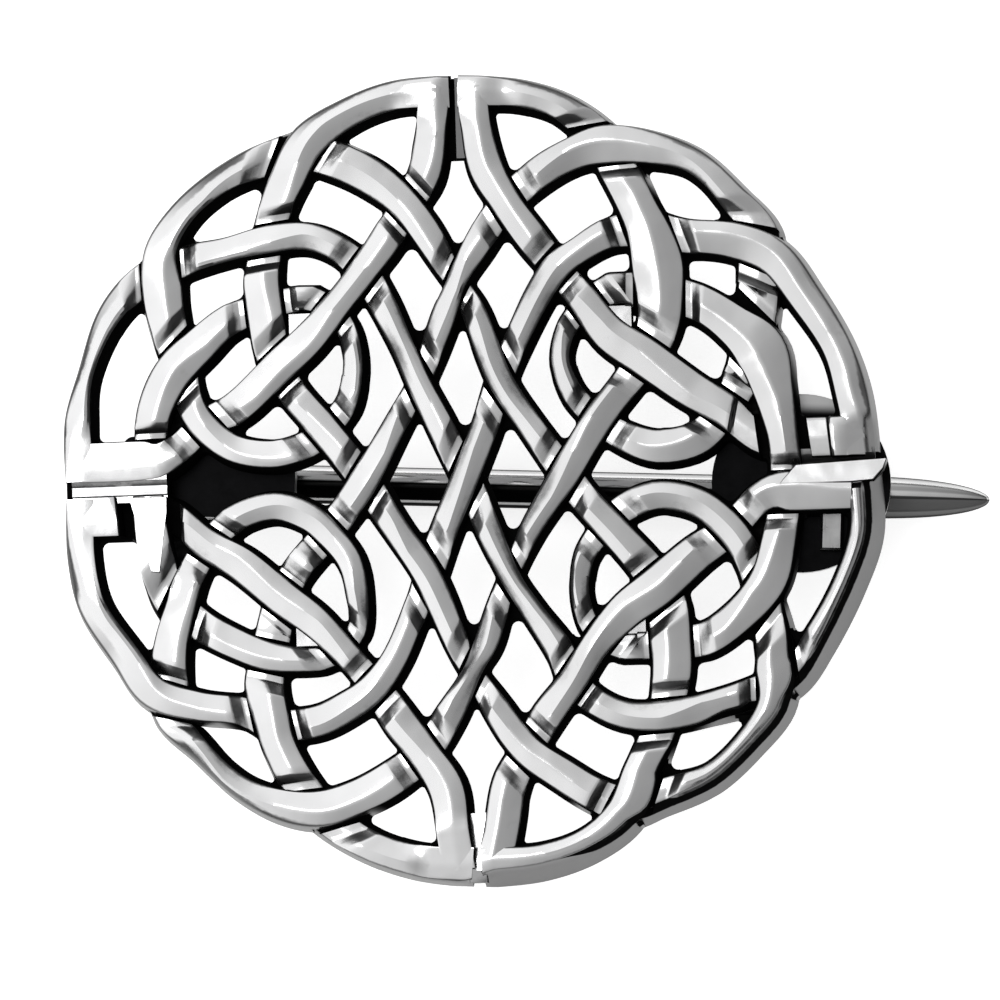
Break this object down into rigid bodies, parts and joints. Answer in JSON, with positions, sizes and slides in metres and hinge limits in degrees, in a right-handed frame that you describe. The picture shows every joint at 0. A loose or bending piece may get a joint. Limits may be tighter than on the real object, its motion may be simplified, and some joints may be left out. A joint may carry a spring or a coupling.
{
  "type": "celtic knot brooch",
  "caption": "Round openwork brooch of woven knot strands, with a hinged straight pin and a fork catch behind it.",
  "frame": {"origin": "middle of the whole brooch's outline, on the surface that the brooch lies on", "axes": "+Z out of the knot's decorated front, +X along the pin from its hinge to its point, +Y completes the set"},
  "size_m": [0.0457, 0.0401, 0.0073],
  "materials": {
    "knot_silver": "polished cast silver, blackened in the recesses",
    "fitting_silver": "blackened silver, satin",
    "pin_silver": "polished",
    "rivet_silver": "polished"
  },
  "bodies": {
    "brooch": {"knot_frame": "knot_silver", "hinge_fitting": "fitting_silver", "catch_fitting": "fitting_silver", "hinge_rivet": "rivet_silver"},
    "pin": {"pin_stem": "pin_silver"}
  },
  "joints": [
    {"name": "pin_swing", "type": "hinge", "parent": "brooch", "child": "pin", "pos_m": [-0.0157, -0.0002, 0.0019], "axis": [0, 1, 0], "range_deg": [0, 80]}
  ]
}
